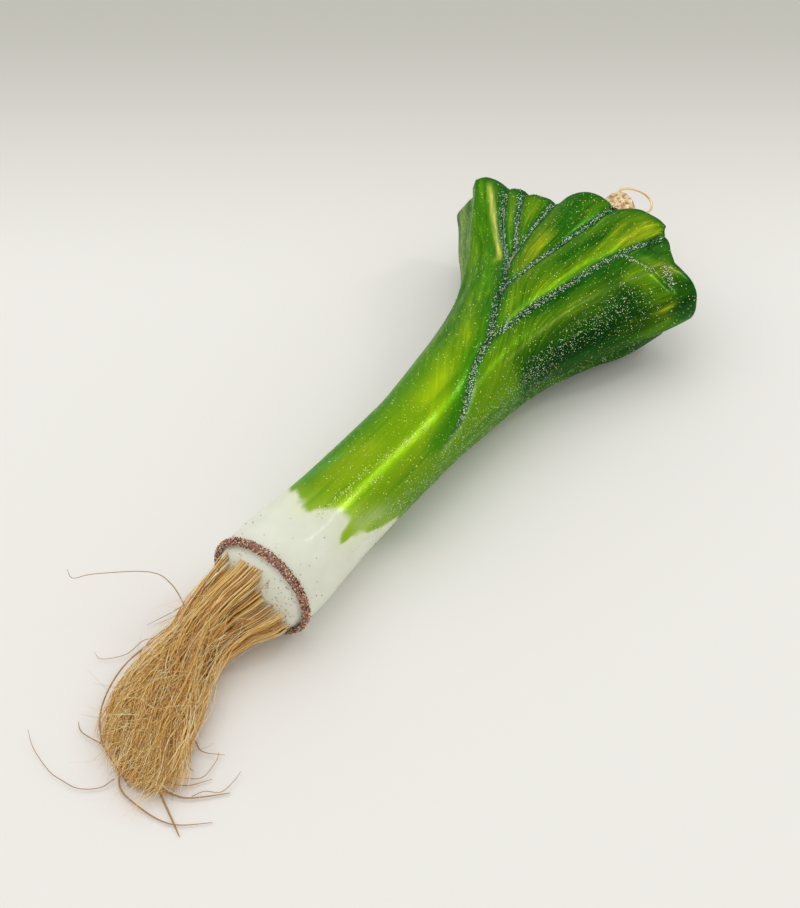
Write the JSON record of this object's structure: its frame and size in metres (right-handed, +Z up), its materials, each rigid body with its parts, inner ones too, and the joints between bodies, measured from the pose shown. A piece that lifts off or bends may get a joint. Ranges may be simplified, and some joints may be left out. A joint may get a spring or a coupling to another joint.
{
  "type": "glass leek ornament",
  "caption": "Blown-glass hanging ornament shaped like a leek, with a white shaft, a fan of green leaves, a fibre root tassel, a glitter ring and a gold cap with a wire loop.",
  "frame": {"origin": "on the surface that the ornament lies on, under the middle of its bounding box", "axes": "+X along the leek from the root tassel to the leaves and the hanging loop, +Y across the fan of leaves, +Z up from the surface"},
  "size_m": [0.2266, 0.0744, 0.0332],
  "materials": {
    "lacquered_glass": "gloss lacquer over blown glass, white at the root end, green leaves, dusted with glitter",
    "copper_glitter": "coarse copper-brown glitter",
    "straw_fibre": "natural plant fibre",
    "gold_cap": "thin pressed gold-coloured metal",
    "gold_wire": "bright gold-coloured wire"
  },
  "bodies": {
    "root": {"glass_leek": "lacquered_glass", "glitter_ring": "copper_glitter", "root_tassel": "straw_fibre", "hanging_cap": "gold_cap", "hanging_loop": "gold_wire"}
  },
  "joints": []
}
